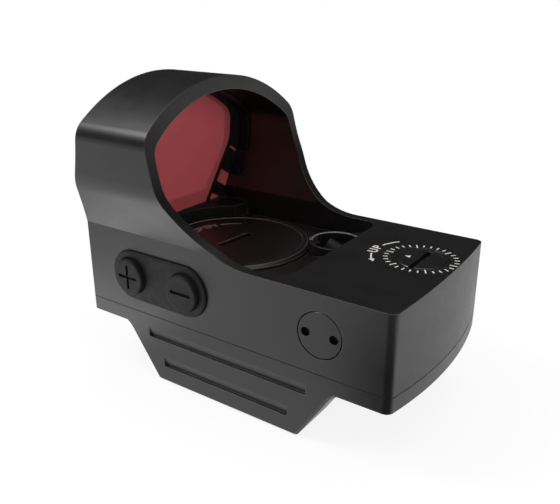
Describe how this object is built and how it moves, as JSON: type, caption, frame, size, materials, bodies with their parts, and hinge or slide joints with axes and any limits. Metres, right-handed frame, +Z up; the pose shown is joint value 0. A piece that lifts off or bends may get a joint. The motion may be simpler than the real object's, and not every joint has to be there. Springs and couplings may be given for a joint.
{
  "type": "red dot sight",
  "caption": "Open reflex red dot sight: hooded housing with a red coated lens, screw battery cap, side brightness keys, slotted adjusters and a clamp base for an accessory rail.",
  "frame": {"origin": "middle of the seat that rests on the rail's flat top, between the jaws", "axes": "+Y towards the target, +X to the shooter's right, +Z up from the rail"},
  "size_m": [0.0382, 0.057, 0.0478],
  "materials": {
    "anodised_body": "satin black hard anodised",
    "anodised_small": "satin black anodised",
    "lens_glass": "polished, red coated",
    "lens_frame": "matt black",
    "clear_glass": "polished",
    "rubber": "matt",
    "insulator": "matt",
    "bright_steel": "bright",
    "black_steel": "black oxide",
    "brass": "turned",
    "mechanism": "black anodised",
    "circuit_board": "solder resist",
    "chips": "moulded"
  },
  "bodies": {
    "housing": {"housing": "anodised_body", "lens": "lens_glass", "lens_gasket": "rubber", "lens_retainer": "lens_frame", "coin_cell": "bright_steel", "cell_cup": "insulator", "cell_contact": "bright_steel", "button_pad": "rubber", "switch_board": "circuit_board", "dome_switches": "bright_steel", "elevation_click_ring": "brass", "elevation_seal": "rubber", "windage_click_ring": "brass", "windage_seal": "rubber", "carriage_rods": "bright_steel", "lever_pin": "bright_steel", "spring_plug": "anodised_small", "plug_seal": "rubber", "driver_board": "circuit_board", "board_pad": "insulator", "board_chips": "chips", "mount_base": "anodised_body", "base_gasket": "rubber", "recoil_lug": "anodised_small", "guide_pins": "bright_steel", "plate_screws": "black_steel"},
    "cap_thread": {"cap_seal": "rubber"},
    "battery_cap": {"battery_cap": "anodised_body", "cap_contact": "bright_steel"},
    "plus_key": {"plus_key": "rubber"},
    "minus_key": {"minus_key": "rubber"},
    "elevation_screw": {"elevation_screw": "anodised_small", "elevation_detent": "bright_steel", "elevation_clip": "bright_steel"},
    "windage_screw": {"windage_screw": "anodised_small", "windage_detent": "bright_steel", "windage_clip": "bright_steel"},
    "elevation_lever": {"elevation_lever": "mechanism"},
    "windage_carriage": {"windage_carriage": "mechanism", "windage_nut": "brass", "windage_spring": "bright_steel"},
    "emitter": {"emitter_block": "mechanism", "emitter_window": "clear_glass", "led_emitter": "chips", "elevation_spring": "bright_steel"},
    "clamp_jaw": {"clamp_jaw": "anodised_body"},
    "clamp_bolt_1": {"clamp_bolt_1": "black_steel"},
    "clamp_bolt_2": {"clamp_bolt_2": "black_steel"}
  },
  "joints": [
    {"name": "elevation_turn", "type": "hinge", "parent": "housing", "child": "elevation_screw", "pos_m": [0.0032, -0.02264, 0.0144], "axis": [0, 0, 1], "range_deg": [-540.01, 540.01]},
    {"name": "windage_turn", "type": "hinge", "parent": "housing", "child": "windage_screw", "pos_m": [0.016, -0.017, 0.0084], "axis": [1, 0, 0], "range_deg": [-540.01, 540.01]},
    {"name": "lever_lift", "type": "slide", "parent": "housing", "child": "elevation_lever", "axis": [0, 0, 1], "range_m": [-0.000375, 0.000375]},
    {"name": "carriage_shift", "type": "slide", "parent": "housing", "child": "windage_carriage", "axis": [1, 0, 0], "range_m": [-0.000375, 0.000375]},
    {"name": "emitter_lift", "type": "slide", "parent": "windage_carriage", "child": "emitter", "axis": [0, 0, 1], "range_m": [-0.000375, 0.000375]},
    {"name": "cap_rise", "type": "slide", "parent": "housing", "child": "cap_thread", "axis": [0, 0, 1], "range_m": [0, 0.0014]},
    {"name": "cap_turn", "type": "hinge", "parent": "cap_thread", "child": "battery_cap", "pos_m": [0, 0.0095, 0.0117], "axis": [0, 0, 1], "range_deg": [0, 720.01]},
    {"name": "plus_press", "type": "slide", "parent": "housing", "child": "plus_key", "axis": [1, 0, 0], "range_m": [0, 0.0004], "stiffness_N_per_m": 400},
    {"name": "minus_press", "type": "slide", "parent": "housing", "child": "minus_key", "axis": [1, 0, 0], "range_m": [0, 0.0004], "stiffness_N_per_m": 400},
    {"name": "jaw_slide", "type": "slide", "parent": "housing", "child": "clamp_jaw", "axis": [1, 0, 0], "range_m": [0, 0.002]},
    {"name": "bolt_1_turn", "type": "hinge", "parent": "clamp_jaw", "child": "clamp_bolt_1", "pos_m": [0.016, -0.01001, -0.0015], "axis": [1, 0, 0], "range_deg": [0, 1440.01]},
    {"name": "bolt_2_turn", "type": "hinge", "parent": "clamp_jaw", "child": "clamp_bolt_2", "pos_m": [0.016, 0.01001, -0.0015], "axis": [1, 0, 0], "range_deg": [0, 1440.01]}
  ],
  "couplings": [
    {"joint": "elevation_turn", "follows": "lever_lift", "rad_per_m": -25133},
    {"joint": "emitter_lift", "follows": "lever_lift", "ratio": 1},
    {"joint": "windage_turn", "follows": "carriage_shift", "rad_per_m": -25133},
    {"joint": "cap_turn", "follows": "cap_rise", "rad_per_m": 8976},
    {"joint": "bolt_1_turn", "follows": "jaw_slide", "rad_per_m": 12566},
    {"joint": "bolt_2_turn", "follows": "jaw_slide", "rad_per_m": 12566}
  ]
}
